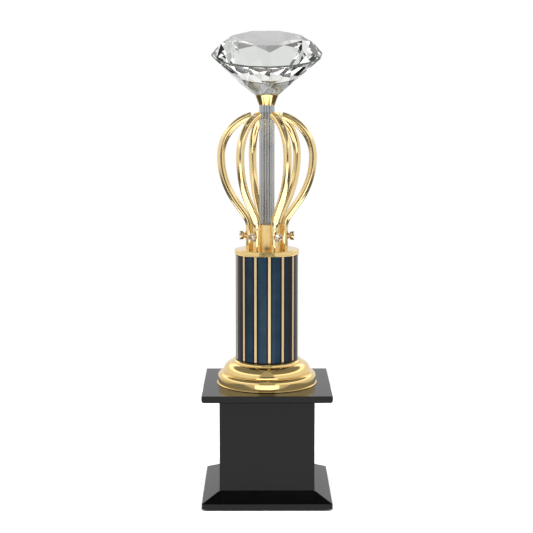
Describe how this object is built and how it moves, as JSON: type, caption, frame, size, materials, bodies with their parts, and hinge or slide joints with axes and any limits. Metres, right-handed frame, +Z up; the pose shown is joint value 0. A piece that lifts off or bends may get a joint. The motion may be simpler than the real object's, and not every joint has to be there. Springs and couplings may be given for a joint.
{
  "type": "column trophy",
  "caption": "Column trophy: square black pedestal, stepped gold base, striped blue column, gold rib cage round a reeded pillar, and a large brilliant-cut crystal on top.",
  "frame": {"origin": "middle of the pedestal's underside, on the surface that it stands on", "axes": "+Z up, -Y the front that the stone's table tips towards, +X to the right seen from the front"},
  "size_m": [0.091, 0.091, 0.332],
  "materials": {
    "black_lacquer": "satin black lacquer over fibreboard",
    "felt": "pressed felt",
    "plain_wood": "bare turned or sawn wood",
    "gold": "polished gold plate",
    "card": "wound card",
    "printed_foil": "metallic printed foil, blue panels and gold stripes",
    "satin_silver": "satin silver",
    "crystal": "clear cut crystal",
    "zinc_steel": "zinc plated"
  },
  "bodies": {
    "root": {"felt_pad": "felt", "foot_plinth": "black_lacquer", "box_panel_front": "black_lacquer", "box_panel_back": "black_lacquer", "box_panel_left": "black_lacquer", "box_panel_right": "black_lacquer", "corner_blocks": "plain_wood", "top_plate": "black_lacquer", "base_core": "plain_wood", "base_shell": "gold", "column_tube": "card", "column_foil": "printed_foil", "tube_plug_bottom": "plain_wood", "tube_plug_top": "plain_wood", "column_cap": "gold", "cage_hub": "gold", "rib_1": "gold", "rib_2": "gold", "rib_3": "gold", "rib_4": "gold", "rib_5": "gold", "rib_6": "gold", "stud_settings": "gold", "stud_crystals": "crystal", "pillar": "satin_silver", "stone_cup": "gold", "crystal_stone": "crystal", "tie_rod": "zinc_steel", "tie_washer": "zinc_steel", "tie_nut": "zinc_steel"}
  },
  "joints": []
}
